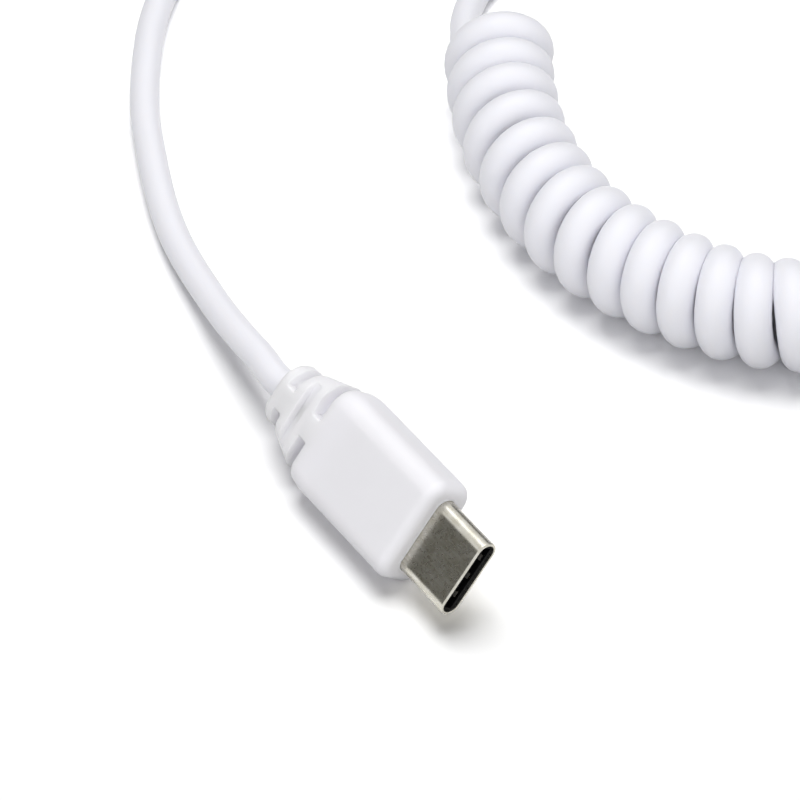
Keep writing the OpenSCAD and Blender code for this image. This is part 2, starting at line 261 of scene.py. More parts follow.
# Height of the cord's middle line where it lies on the table.
LOW = 1.57
NEAR_ROUTE = [
    (-17.5, 0, 5.3), (-20.5, 0.5, 4.9), (-24.5, 1, 4.1), (-29, 1.7, 3.2), (-33, 2.5, 2.5),
    (-37.5, 3.4, 2), (-42, 4.5, 1.7), (-46.5, 6, LOW), (-50.6, 7.7, LOW), (-54.7, 9.6, LOW),
    (-58.9, 11.7, LOW), (-62.8, 14.1, LOW), (-66.6, 16.8, LOW), (-70.3, 19.7, LOW),
    (-73.7, 23, LOW), (-76.4, 26.4, LOW), (-79, 30.5, LOW), (-80.8, 35.4, LOW),
    (-81.5, 40.5, LOW), (-81.1, 45.8, LOW), (-79.5, 51, LOW), (-76.7, 56, LOW),
    (-72.8, 60.3, LOW), (-67.7, 62.8, LOW), (-62.8, 62.2, LOW), (-59.3, 58.8, LOW),
    (-57, 54.5, LOW), (-55.2, 50.9, LOW), (-52.8, 48, LOW), (-50.2, 46, LOW)]
CURL_ROUTE = [
    (-45.5, 47), (-38.6, 42.2), (-31.1, 38.5), (-22.6, 36.4), (-14.5, 36.3), (-7, 38.2),
    (-0.5, 41.3), (4.8, 45.7), (9, 52.5), (10, 59.5), (7.5, 66.5), (2.5, 71.5), (-4.5, 75),
    (-12, 77.5), (-19.5, 80.5)]
FAR_ROUTE = [
    (-29.8, 80.6, LOW), (-33.3, 83, LOW), (-35.1, 86.8, LOW), (-34.7, 91, LOW), (-32.3, 94.5, LOW),
    (-28.5, 96.3, LOW), (-24.3, 95.9, 1.8), (-19.5, 94.2, 2.4)]
# Spacing of the turns that show, from the first; the rest lie at the closed pitch.
TURN_SPACING = (4.0, 3.9, 4.3, 4.45, 4.25, 4.05, 4.05, 3.95, 3.7, 3.7, 3.6, 3.55, 3.55)
# The first turn's top from the curl's start, and the least distance of the last from its end.
FIRST_TOP = 4.3
LAST_TOP = 2.4
# Turns over which the first turn's swell falls to about a third.
SWELL_TURNS = 2
# Turns over which the jacket goes over from its wound to its tight diameter, past the view.
TIGHTENS = (14.5, 17)
# Spacing of the points on the leads and on the curl's middle line, how high the turns stand clear
# of the table, and the join of lead and turns: its steps, and its runs as a share of the gap.
LEAD_STEP = 0.7
AXIS_STEP = 0.25
TURN_CLEARANCE = 0.02
JOIN_STEPS = 16
JOIN_REACH = 1.1
# The photograph's left to right as a turn of the part's frame.
PHOTO_TURN = math.radians(55)


def place(end):
    """Where a plug drawn nose at the origin goes."""
    if end == "near":
        return Matrix.Translation(NEAR_NOSE) @ Matrix.Rotation(NEAR_ROLL, 4, "X")
    return Matrix.Translation(FAR_NOSE) @ Matrix.Rotation(FAR_TURN, 4, "Z")


def photo_floor(x, y, z):
    """A place given as the photograph shows it, across, away and up, in the part's frame."""
    c, s = math.cos(PHOTO_TURN), math.sin(PHOTO_TURN)
    return Vector((x * c - y * s + PLUG_LEN / 2, x * s + y * c, z))


# The cord: one jacket from plug to plug, wound into about twenty-nine turns on the way

class Axis:
    """The curl's middle line on the floor, by distance along it."""

    def __init__(self):
        self.points = through([Vector((x, y, 0)) for x, y in CURL_ROUTE], AXIS_STEP)
        self.at = [0.0]
        for a, b in zip(self.points, self.points[1:]):
            self.at.append(self.at[-1] + (b - a).length)
        self.length = self.at[-1]

    def look(self, distance):
        """The point at a distance along the line, and the line's heading there."""
        low, high = 0, len(self.at) - 1
        while high - low > 1:
            middle = (low + high) // 2
            if self.at[middle] <= distance:
                low = middle
            else:
                high = middle
        part = (distance - self.at[low]) / (self.at[high] - self.at[low])
        point = self.points[low].lerp(self.points[high], part)
        a, b = self.points[max(low - 4, 0)], self.points[min(high + 4, len(self.points) - 1)]
        return point, (b - a).normalized()


def turn_tops(length, pitch):
    """Distances along the curl at which a turn is at its top."""
    tops = [FIRST_TOP]
    for gap in TURN_SPACING:
        tops.append(tops[-1] + gap)
    while tops[-1] + pitch < length - LAST_TOP:
        tops.append(tops[-1] + pitch)
    return tops


def helix(sizes):
    """The turns' middle line, from the bottom before the first top to the bottom after the last, and
    how far the jacket has gone over from plain to wound at each point."""
    axis = Axis()
    radius, swell, pitch = sizes.turn_radius / MM, sizes.first_swell / MM, sizes.pitch / MM
    tops = turn_tops(axis.length, pitch)
    ends = [tops[0] - TURN_SPACING[0]] + tops + [tops[-1] + pitch]
    steps = sizes.steps_per_turn
    slack = (sizes.wound_diameter - sizes.tight_diameter) / (sizes.wound_diameter - sizes.diameter)
    out, wound = [], []
    for k in range(-steps // 2, (len(tops) - 1) * steps + steps // 2 + 1):
        turns = k / steps
        whole = math.floor(turns)
        part = turns - whole
        p0, p1 = ends[whole + 1], ends[whole + 2]
        before = ends[whole] if whole >= 0 else p0 - (p1 - p0)
        after = ends[whole + 3] if whole + 3 < len(ends) else p1 + (p1 - p0)
        distance = 0.5 * (2 * p0 + (p1 - before) * part
                          + (2 * before - 5 * p0 + 4 * p1 - after) * part ** 2
                          + (3 * p0 - before - 3 * p1 + after) * part ** 3)
        middle, heading = axis.look(distance)
        left = Vector((-heading.y, heading.x, 0))
        tight = smooth_step(turns, *TIGHTENS)
        thinner = tight * (sizes.wound_diameter - sizes.tight_diameter) / MM / 2
        r = radius + swell * math.exp(-max(turns, 0) / SWELL_TURNS) + thinner
        angle = math.tau * (turns + 0.25)
        rest = r - thinner + sizes.wound_diameter / MM / 2 + TURN_CLEARANCE
        wound.append(1 - slack * tight)
        out.append(middle + Vector((0, 0, rest)) + r * (math.cos(angle) * left
                                                        + math.sin(angle) * Vector((0, 0, 1))))
    return out, wound


def cord_line(sizes):
    """The jacket's whole middle line in millimetres, from inside one plug to inside the other, and
    for each point how far the jacket has gone over from plain to wound."""
    near = [NEAR_NOSE - Vector((back, 0, 0)) for back in (JACKET_AT, STRAIGHT_AT, PLUG_LEN)]
    near = through(near + [Vector(p) for p in NEAR_ROUTE], LEAD_STEP)
    turns, shares = helix(sizes)
    far = through([Vector(p) for p in FAR_ROUTE] + [
        FAR_TAIL.copy(), FAR_TAIL + (PLUG_LEN - STRAIGHT_AT) * FAR_HEADING,
        FAR_NOSE - JACKET_AT * FAR_HEADING], LEAD_STEP)
    reach = (turns[0] - near[-1]).length * JOIN_REACH
    into = hermite(near[-1], (near[-1] - near[-2]).normalized() * reach,
                   turns[0], (turns[1] - turns[0]).normalized() * reach, JOIN_STEPS)
    reach = (far[0] - turns[-1]).length * JOIN_REACH
    out_of = hermite(turns[-1], (turns[-1] - turns[-2]).normalized() * reach,
                     far[0], (far[1] - far[0]).normalized() * reach, JOIN_STEPS)
    swelling = [smooth_step(k, 0, len(into) + 1) for k in range(1, len(into) + 1)]
    shrinking = [share * shares[-1] for share in reversed(swelling)]
    wound = [0.0] * len(near) + swelling + shares + shrinking + [0.0] * len(far)
    return near + into + turns + out_of + far, wound


def sweep_tree():
    """Geometry nodes that sweep the jacket along a line whose points say how far they are wound."""
    tree = bpy.data.node_groups.new("jacket_sweep", "GeometryNodeTree")
    tree.interface.new_socket("Line", in_out="INPUT", socket_type="NodeSocketGeometry")
    for name, kind in (("Cord diameter", "Float"), ("Wound diameter", "Float"), ("Sides", "Int"),
                       ("Jacket finish", "Material")):
        tree.interface.new_socket(name, in_out="INPUT", socket_type=f"NodeSocket{kind}")
    tree.interface.new_socket("Jacket", in_out="OUTPUT", socket_type="NodeSocketGeometry")
    given = add_node(tree, "NodeGroupInput")
    wound = add_node(tree, "GeometryNodeInputNamedAttribute", {"data_type": "FLOAT"}, {"Name": "wound"})
    diameter = add_node(tree, "ShaderNodeMix", {"data_type": "FLOAT"},
                        links={"Factor": wound.outputs["Attribute"], "A": given.outputs["Cord diameter"],
                               "B": given.outputs["Wound diameter"]})
    radius = add_node(tree, "ShaderNodeMath", {"operation": "MULTIPLY"}, {1: 0.5},
                      {0: diameter.outputs["Result"]})
    section = add_node(tree, "GeometryNodeCurvePrimitiveCircle", values={"Radius": 1.0},
                       links={"Resolution": given.outputs["Sides"]})
    middle = add_node(tree, "GeometryNodeMeshToCurve", links={"Mesh": given.outputs["Line"]})
    swept = add_node(tree, "GeometryNodeCurveToMesh", values={"Fill Caps": True},
                     links={"Curve": middle.outputs["Curve"], "Profile Curve": section.outputs["Curve"],
                            "Scale": radius.outputs["Value"]})
    real = add_node(tree, "GeometryNodeRealizeInstances", links={"Geometry": swept.outputs["Mesh"]})
    dressed = add_node(tree, "GeometryNodeSetMaterial",
                       links={"Geometry": real.outputs["Geometry"],
                              "Material": given.outputs["Jacket finish"]})
    add_node(tree, "NodeGroupOutput", links={"Jacket": dressed.outputs["Geometry"]})
    return tree


def swept_mesh(context, line, wound, values):
    """Runs the sweep on a line in metres and returns what comes out as a plain mesh."""
    tree = sweep_tree()
    mesh = bpy.data.meshes.new("jacket_line")
    mesh.from_pydata(line, [(k, k + 1) for k in range(len(line) - 1)], [])
    mesh.attributes.new("wound", "FLOAT", "POINT").data.foreach_set("value", wound)
    guide = bpy.data.objects.new("jacket_line", mesh)
    context.scene.collection.objects.link(guide)
    sweep = guide.modifiers.new("jacket_sweep", "NODES")
    sweep.node_group = tree
    for socket in tree.interface.items_tree:
        if socket.in_out == "INPUT" and socket.name in values:
            sweep[socket.identifier] = values[socket.name]
    made = bpy.data.meshes.new_from_object(guide.evaluated_get(context.evaluated_depsgraph_get()))
    bpy.data.objects.remove(guide)
    bpy.data.meshes.remove(mesh)
    return made


def length_of(line):
    return sum((b - a).length for a, b in zip(line, line[1:]))


class CABLE_OT_cord(Operator):
    """Makes the jacket, with its curl, as one tube from plug to plug"""
    bl_idname = "cable.cord"
    bl_label = "Cord"

    def execute(self, context):
        sizes = context.scene.cable_cord
        line, wound = cord_line(sizes)
        line = [p * MM for p in line]
        material = jacket_material(context)
        swept = swept_mesh(context, line, wound, {
            "Cord diameter": sizes.diameter, "Wound diameter": sizes.wound_diameter,
            "Sides": sizes.sides, "Jacket finish": material})
        bm = bmesh.new()
        bm.from_mesh(swept)
        bpy.data.meshes.remove(swept)
        piece = finish_piece("jacket", bm, material, "cord_jacket", "near_lead", "curl", "far_lead")
        piece["cord_length"] = length_of(line)
        piece["cord_line"] = [c for p in line for c in p]
        return {"FINISHED"}


# The plugs' moulded bodies: sizes in millimetres, places behind the nose

SHOULDER_AT = 21.4
BLEND = 1.2
COLLAR_AT = 28.1
BODY_CORNER = 2.0
TAIL_SECTION = (6.7, 5.0, 2.3)
TAIL_EDGE = 0.5
# The grooves: their spacing, the web between two side ones, the length of the one across a broad
# face, and the width of the core that the side ones leave.
GROOVE_PITCH = 2.33
WEB = 2.8
WINDOW = 7.2
SLEEVE = 5.0
# How far a round side's corner stays under half its height: the core's, and the steel shell's.
CORE_FLAT = 0.02
SHELL_FLAT = 0.001
# How much larger the moulding's hole is than the shell in it, over both sides.
SHELL_CLEARANCE = 0.04
# The thin rim of flash where the mould closed on the shell: how far out from it and how far ahead.
FLASH = ((0, 0), (0.01, 0.05), (0.05, 0.08), (0.1, 0.06), (0.14, 0.0), (0.2, -0.02))
# The spaces inside, as width, height and corner, with clearance for what they hold.
CORD_HOLE, CRIMP_SPACE, CAN_SPACE = (3.14, 3.14, 1.569), (3.58, 3.58, 1.789), (9.44, 4.44, 1.22)
# Over this stretch the moulding goes over from a hollow body to a solid strain relief.
TURNS_SOLID = (20.4, 22.4)
POINTS_ROUND = {"near": 320, "far": 240}


def quarter(width, height, corner):
    """A quarter outline from the middle of the broad face to the middle of the narrow side."""
    y, z = width / 2 - corner, height / 2 - corner
    points = [(0.0, height / 2), (y, height / 2)]
    points += [(y + corner * math.sin(a), z + corner * math.cos(a))
               for a in (math.pi / 2 * k / 24 for k in range(1, 25))]
    points.append((width / 2, 0.0))
    points = [p for k, p in enumerate(points) if k == 0 or math.dist(p, points[k - 1]) > 1e-9]
    at = [0.0]
    for a, b in zip(points, points[1:]):
        at.append(at[-1] + math.dist(a, b))
    return points, at


def on_quarter(shape, distance):
    """The point at a distance along a quarter outline."""
    points, at = shape
    distance = max(0.0, min(at[-1], distance))
    k = 1
    while k < len(at) - 1 and at[k] < distance:
        k += 1
    part = (distance - at[k - 1]) / (at[k] - at[k - 1])
    return (points[k - 1][0] + part * (points[k][0] - points[k - 1][0]),
            points[k - 1][1] + part * (points[k][1] - points[k - 1][1]))


def outline(width, height, corner, count, cut=None):
    """Points round a rounded section, evenly spread in each quarter; cut moves each one inwards."""
    shape = quarter(width, height, corner)
    total = shape[1][-1]
    first = []
    for k in range(count // 4 + 1):
        distance = total * k / (count // 4)
        p = on_quarter(shape, distance)
        first.append(cut(p, distance, total) if cut else p)
    ring = [(y, z) for y, z in first]
    ring += [(y, -z) for y, z in reversed(first[:-1])]
    ring += [(-y, -z) for y, z in first[1:]]
    ring += [(-y, z) for y, z in reversed(first[1:-1])]
    return ring


def body_section(sizes, back, inset=0.0):
    """Width, height and corner of the moulding at a distance behind the nose, in millimetres."""
    d = back - SHOULDER_AT + BLEND
    run = 0.0 if d <= 0 else d * d / (4 * BLEND) if d < 2 * BLEND else d - BLEND
    part = min(1.0, run / (COLLAR_AT - SHOULDER_AT))
    full = (sizes.body_width / MM, sizes.body_height / MM, BODY_CORNER)
    w, h, r = (a + (b - a) * part for a, b in zip(full, TAIL_SECTION))
    return w - 2 * inset, h - 2 * inset, r - inset


def groove_cut(sizes, kind, section, amount):
    """How a groove moves the points of a section, at a part of its full depth."""
    h = section[1]
    depth = sizes.groove_depth / MM
    lip = sizes.groove_lip / MM / 2
    core_h = h - 2 * depth
    core = quarter(SLEEVE, core_h, core_h / 2 - CORE_FLAT)

    def side(p, distance, total):
        share = amount * smooth_step(p[0], WEB / 2 - lip, WEB / 2 + lip)
        if share == 0.0:
            return p
        start = WEB / 2
        along = distance if distance <= start else (
            start + (distance - start) * (core[1][-1] - start) / (total - start))
        q = on_quarter(core, along)
        return p[0] + share * (q[0] - p[0]), p[1] + share * (q[1] - p[1])

    def face(p, distance, total):
        if distance > WINDOW / 2 + 1.0:
            return p
        share = amount * (1 - smooth_step(p[0], WINDOW / 2 - lip, WINDOW / 2 + lip))
        return p[0], p[1] + share * (h / 2 - depth - p[1])

    return side if kind == "side" else face


def molding_rings(sizes, count):
    """The moulding's surface from its front hole out, back to the tail and home inside."""
    front = sizes.shell_out / MM
    shell = (sizes.shell_width / MM + SHELL_CLEARANCE, sizes.shell_height / MM + SHELL_CLEARANCE)
    edge = sizes.front_edge / MM
    rings = []

    def put(back, shape, cut=None):
        rings.append([(-back, y, z) for y, z in outline(*shape, count, cut)])

    def grown(by):
        return shell[0] + 2 * by, shell[1] + 2 * by, shell[1] / 2 + by - SHELL_FLAT

    for by, ahead in FLASH:
        put(front - ahead, grown(by))
    inner = grown(FLASH[-1][0])
    outer = body_section(sizes, front, edge)
    for t in (0.25, 0.6, 0.9, 0.97):
        put(front, tuple(a + (b - a) * t for a, b in zip(inner, outer)))
    for k in range(13):
        a = math.pi / 2 * k / 12
        put(front + edge * (1 - math.cos(a)), body_section(sizes, front, edge * (1 - math.sin(a))))
    back = front + edge + 0.06
    while back < SHOULDER_AT - BLEND:
        put(back, body_section(sizes, back))
        back += 1.2
    # Three grooves: the first and last open at the sides, the middle one across the broad faces.
    half = sizes.groove_width / MM / 2
    lip = sizes.groove_lip / MM
    last = COLLAR_AT - half
    grooves = [(last - 2 * GROOVE_PITCH, "side"), (last - GROOVE_PITCH, "face"), (last, "side")]
    stops = {round(SHOULDER_AT - BLEND + 0.2 * k, 3) for k in range(35)}
    for middle, _ in grooves:
        for sign in (-1, 1):
            stops |= {round(middle + sign * (half - lip / 2 + lip * k / 8), 4)
                      for k in range(-1, 10)}
    for back in sorted(b for b in stops if SHOULDER_AT - BLEND - 0.01 <= b <= COLLAR_AT + lip):
        section = body_section(sizes, back)
        cut = None
        for middle, kind in grooves:
            off = abs(back - middle)
            amount = 1 - smooth_step(off, half - lip / 2, half + lip / 2)
            if amount > 0:
                cut = groove_cut(sizes, kind, section, amount)
        put(back, section, cut)
    for k in range(9):
        a = math.pi / 2 * k / 8
        put(PLUG_LEN - TAIL_EDGE * (1 - math.sin(a)),
            body_section(sizes, PLUG_LEN, TAIL_EDGE * (1 - math.cos(a))))
    tail = body_section(sizes, PLUG_LEN, TAIL_EDGE)
    for t in (0.15, 0.6, 0.95):
        put(PLUG_LEN, tuple(a + (b - a) * t for a, b in zip(tail, CORD_HOLE)))
    # Home inside: through the cord's hole, the crimp's space, the shield can's and the shell's.
    for back, shape in ((PLUG_LEN - 0.08, CORD_HOLE), (20.64, CORD_HOLE),
                        (20.62, CRIMP_SPACE), (18.64, CRIMP_SPACE),
                        (18.62, CAN_SPACE), (7.58, CAN_SPACE),
                        (7.56, grown(0)), (front + 0.3, grown(0))):
        put(back, shape)
    return rings


class CABLE_OT_moldings(Operator):
    """Makes the moulded body and slotted strain relief of each plug"""
    bl_idname = "cable.moldings"
    bl_label = "Moulded bodies"

    def execute(self, context):
        material = molding_material(context)
        for end, count in POINTS_ROUND.items():
            rings = molding_rings(context.scene.cable_plug, count)
            at = place(end)
            bm = skin([[(at @ Vector(p)) * MM for p in ring] for ring in rings])
            piece = finish_piece(f"{end}_molding", bm, material, "plug_molding", f"{end}_overmold")
            solid = [smooth_step(-p[0], *TURNS_SOLID) for ring in rings for p in ring]
            piece.data.attributes.new("relief", "FLOAT", "POINT").data.foreach_set("value", solid)
        return {"FINISHED"}


# The steel shells

# Places behind the nose, in millimetres, of the rings that skin the shell outside and inside, the
# rounding of its rim outside and inside, and the points round it.
SHELL_OUTSIDE = (8.75, 8.7, 6.6, 6.0, 4.0, 2.0, 0.6, 0.25)
SHELL_INSIDE = (0.15, 0.3, 1.0, 4.0, 8.7, 8.75)
RIM_OUTSIDE, RIM_INSIDE = 0.17, 0.08
SHELL_POINTS = 200


def shell_rings(sizes):
    """The shell's surface from its hidden end forward, round the rim and back inside."""
    w, h, wall = sizes.shell_width / MM, sizes.shell_height / MM, sizes.shell_wall / MM
    rings = []

    def put(back, inset):
        rings.append([(-back, y, z) for y, z in outline(
            w - 2 * inset, h - 2 * inset, h / 2 - inset - SHELL_FLAT, SHELL_POINTS)])

    for back in SHELL_OUTSIDE:
        put(back, 0)
    for k in range(1, 11):
        a = math.pi / 2 * k / 10
        put(RIM_OUTSIDE * (1 - math.sin(a)), RIM_OUTSIDE * (1 - math.cos(a)))
    for k in range(7):
        a = math.pi / 2 * k / 6
        put(RIM_INSIDE * (1 - math.cos(a)), wall - RIM_INSIDE * (1 - math.sin(a)))
    for back in SHELL_INSIDE:
        put(back, wall)
    return rings


class CABLE_OT_shells(Operator):
    """Makes the drawn steel shell of each plug with its rounded lip"""
    bl_idname = "cable.shells"
    bl_label = "Steel shells"

    def execute(self, context):
        material = shell_material(context)
        rings = shell_rings(context.scene.cable_plug)
        for end in ("near", "far"):
            at = place(end)
            bm = skin([[(at @ Vector(p)) * MM for p in ring] for ring in rings])
            finish_piece(f"{end}_shell_skin", bm, material, "plug_shell", f"{end}_shell")
        return {"FINISHED"}


# Materials

def new_material(name):
    """A material with an empty node tree, and that tree."""
    material = bpy.data.materials.new(name)
    material.use_nodes = True
    tree = material.node_tree
    tree.nodes.clear()
    return material, tree


def grain(tree, size_mm, depth_mm, strength):
    """Fine noise of a real size on the object's own coordinates, and bump from it."""
    where = add_node(tree, "ShaderNodeTexCoord")
    noise = add_node(tree, "ShaderNodeTexNoise",
                     values={"Scale": 1 / (size_mm * MM), "Detail": 2.0},
                     links={"Vector": where.outputs["Object"]})
    bump = add_node(tree, "ShaderNodeBump", values={"Strength": strength, "Distance": depth_mm * MM},
                    links={"Height": noise.outputs["Fac"]})
    return where, noise, bump


def mix_colors(tree, factor, one, two):
    """A colour between two, by a factor."""
    mix = add_node(tree, "ShaderNodeMix", {"data_type": "RGBA"}, links={"Factor": factor})
    colors = [s for s in mix.inputs if s.type == "RGBA"]
    colors[0].default_value, colors[1].default_value = one, two
    return [s for s in mix.outputs if s.type == "RGBA"][0]


def tint(tree, where, size_mm, color, spread):
    """The colour with a slight slow change of lightness over the surface."""
    noise = add_node(tree, "ShaderNodeTexNoise", values={"Scale": 1 / (size_mm * MM), "Detail": 2.0},
                     links={"Vector": where.outputs["Object"]})
    low = tuple(c * (1 - spread) for c in color[:3]) + (1.0,)
    high = tuple(c * (1 + spread) for c in color[:3]) + (1.0,)
    return mix_colors(tree, noise.outputs["Fac"], low, high)


def close(tree, shader):
    """Ends a material's tree in its surface output."""
    add_node(tree, "ShaderNodeOutputMaterial", links={"Surface": shader.outputs[0]})


def jacket_material(context):
    # Extruded thermoplastic elastomer: a soft satin white with a faint drawn skin and a little depth.
    material, tree = new_material("extruded_elastomer_white")
    where, _, bump = grain(tree, 0.25, 0.01, 0.25)
    color = tint(tree, where, 9.0, linear(hex_of(context.scene.cable_finish.jacket)), 0.012)
    shader = add_node(
        tree, "ShaderNodeBsdfPrincipled",
        values={"Roughness": 0.42, "IOR": 1.46, "Specular IOR Level": 0.5, "Subsurface Weight": 0.5,
                "Subsurface Radius": (0.0015, 0.00143, 0.00135), "Subsurface Scale": 1.0},
        links={"Base Color": color, "Normal": bump.outputs["Normal"]})
    close(tree, shader)
    return material


def molding_material(context):
    # Injection-moulded elastomer: the tool's fine spark-eroded texture makes it a little duller.
    material, tree = new_material("molded_elastomer_white")
    where, _, bump = grain(tree, 0.14, 0.012, 0.3)
    color = tint(tree, where, 7.0, linear(hex_of(context.scene.cable_finish.molding)), 0.01)
    # The strain relief is solid round the cord, so light runs further in it and fills its grooves.
    relief = add_node(tree, "ShaderNodeAttribute", {"attribute_name": "relief"})
    depth = add_node(tree, "ShaderNodeMapRange", values={"To Min": 0.45, "To Max": 1.0},
                     links={"Value": relief.outputs["Fac"]})
    reach = add_node(tree, "ShaderNodeMapRange", values={"To Min": 1.0, "To Max": 1.5},
                     links={"Value": relief.outputs["Fac"]})
    shader = add_node(
        tree, "ShaderNodeBsdfPrincipled",
        values={"Roughness": 0.46, "IOR": 1.46, "Specular IOR Level": 0.5,
                "Subsurface Radius": (0.0013, 0.0013, 0.0013)},
        links={"Base Color": color, "Normal": bump.outputs["Normal"],
               "Subsurface Weight": depth.outputs["Result"], "Subsurface Scale": reach.outputs["Result"]})
    close(tree, shader)
    return material


def metal(name, color, roughness, size_mm, spread):
    """A bare or plated metal whose roughness wanders a little, as rolled and plated strip does."""
    material, tree = new_material(name)
    _, noise, bump = grain(tree, size_mm, 0.002, 0.1)
    rough = add_node(tree, "ShaderNodeMapRange",
                     values={"To Min": roughness - spread, "To Max": roughness + spread},
                     links={"Value": noise.outputs["Fac"]})
    shader = add_node(
        tree, "ShaderNodeBsdfPrincipled", values={"Metallic": 1.0, "Base Color": color},
        links={"Roughness": rough.outputs["Result"], "Normal": bump.outputs["Normal"]})
    close(tree, shader)
    return material


def plastic(name, color, roughness, size_mm, spread=0.03, gloss=0.5):
    """A moulded plastic with a fine skin."""
    material, tree = new_material(name)
    where, _, bump = grain(tree, size_mm, 0.006, 0.25)
    shader = add_node(
        tree, "ShaderNodeBsdfPrincipled",
        values={"Roughness": roughness, "IOR": 1.5, "Specular IOR Level": gloss},
        links={"Base Color": tint(tree, where, size_mm * 12, color, spread),
               "Normal": bump.outputs["Normal"]})
    close(tree, shader)
    return material


# The steel's colour where its plating is dull, as a share of where it is bright.
DULL_PLATING = (0.78, 0.76, 0.7)


def shell_material(context):
    # Deep-drawn stainless steel under a thin nickel plate: satin, with the sheet's grain showing.
    bright = linear(hex_of(context.scene.cable_finish.steel))
    material = metal("nickel_plated_steel", bright, 0.28, 0.35, 0.04)
    tree = material.node_tree
    where = add_node(tree, "ShaderNodeTexCoord")
    # Faint drawing marks along the shell, about 0.15 mm apart and several millimetres long.
    drawn = add_node(tree, "ShaderNodeMapping", values={"Scale": (0.12, 1.0, 1.0)},
                     links={"Vector": where.outputs["Object"]})
    marks = add_node(tree, "ShaderNodeTexNoise", values={"Scale": 1 / (0.22 * MM), "Detail": 3.0},
                     links={"Vector": drawn.outputs["Vector"]})
    # Uneven plating in patches about a millimetre across.
    patches = add_node(tree, "ShaderNodeTexNoise", values={"Scale": 1 / (1.1 * MM), "Detail": 4.0},
                       links={"Vector": where.outputs["Object"]})
    both = add_node(tree, "ShaderNodeMath", {"operation": "ADD"},
                    links={0: marks.outputs["Fac"], 1: patches.outputs["Fac"]})
    dull = tuple(c * part for c, part in zip(bright, DULL_PLATING)) + (1.0,)
    share = add_node(tree, "ShaderNodeMapRange", values={"From Min": 0.75, "From Max": 1.25},
                     links={"Value": both.outputs["Value"]})
    shader = [n for n in tree.nodes if n.type == "BSDF_PRINCIPLED"][0]
    tree.links.new(mix_colors(tree, share.outputs["Result"], dull, bright),
                   shader.inputs["Base Color"])
    return material


class CABLE_OT_inner_pieces(Operator):
    """Gives the insulator, contacts, springs, card, shield and wires their finishes"""
    bl_idname = "cable.inner_pieces"
    bl_label = "Inner pieces"

    def execute(self, context):
        wires = {"vbus": "9E2B25", "gnd": "1B1B1D", "cc": "2A4E9B", "d_plus": "2F7D44",
                 "d_minus": "E9E8E2"}
        finishes = {
            # Glass-filled liquid-crystal polymer: near black and nearly matt.
            "insulator": plastic(
                "black_liquid_crystal_polymer", linear("070708"), 0.55, 0.2, gloss=0.12),
            # Gold flash over nickel on copper alloy strip.
            "contact": metal("gold_flashed_contact", linear("E2BE72"), 0.24, 0.1, 0.04),
            # Rolled stainless spring strip, its colour darkened as painted shade for where it sits down
            # in the mouth.
            "spring": metal("stainless_spring_strip", linear("6E6C67"), 0.45, 0.12, 0.04),
            # Glass-epoxy laminate under green solder mask.
            "circuit_card": plastic("green_solder_mask", linear("1F5B3A"), 0.3, 0.3, 0.08),
            # Low-pressure moulded polyethylene, milky.
            "inner_mold": plastic("milky_polyethylene", linear("DAD9D2"), 0.5, 0.3),
            # Tin-plated steel sheet.
            "shield_can": metal("tin_plated_sheet", linear("C9C8C4"), 0.34, 0.3, 0.06),
        }
        for name, node in frame["nodes"].items():
            part = name.split("_", 1)[1] if "_" in name else name
            if part.startswith("wire_"):
                kind = part[5:]
                material = plastic(f"wire_insulation_{kind}", linear(wires[kind]), 0.4, 0.15)
            else:
                found = [finishes[k] for k in finishes if k in part]
                if not found:
                    continue
                material = found[0]
            node.data.materials.clear()
            node.data.materials.append(material)
        return {"FINISHED"}


# The stage: a white table, soft studio light and the camera at the photograph's view

# The camera's place in millimetres, its right and its forward, and its lens on a 36 mm sensor.
CAMERA_AT = (228.935, -157.747, 304.670)
CAMERA_RIGHT = (0.5736, 0.8192, 0)
CAMERA_FORWARD = (-0.5690, 0.3984, -0.7193)
CAMERA_LENS = 195.66
# Lamps and cards by name: place as the photograph sees it, in millimetres, and size in metres.
LAMPS = {"table_key": ((-12, 140, 395), 0.28), "cable_key": ((5, 150, 390), 0.22),
         "side_fill": ((-160, -80, 300), 0.4), "front_fill": ((90, -230, 170), 0.4),
         "back_fill": ((240, 180, 230), 0.4)}
LAMPS_AIM = (0, 25, 0)
CARDS = {"left_card": ((-200, 0, 60), (0.2, 0.11)), "back_card": ((150, 200, 60), (0.4, 0.12))}
# The table's half side in metres, and between which distances from its middle it fades out.
TABLE_REACH = 1.6
TABLE_MIDDLE = Vector((-30, 45, 0))
TABLE_FADE = (0.14, 0.26)
CARD_WHITE = 0.9


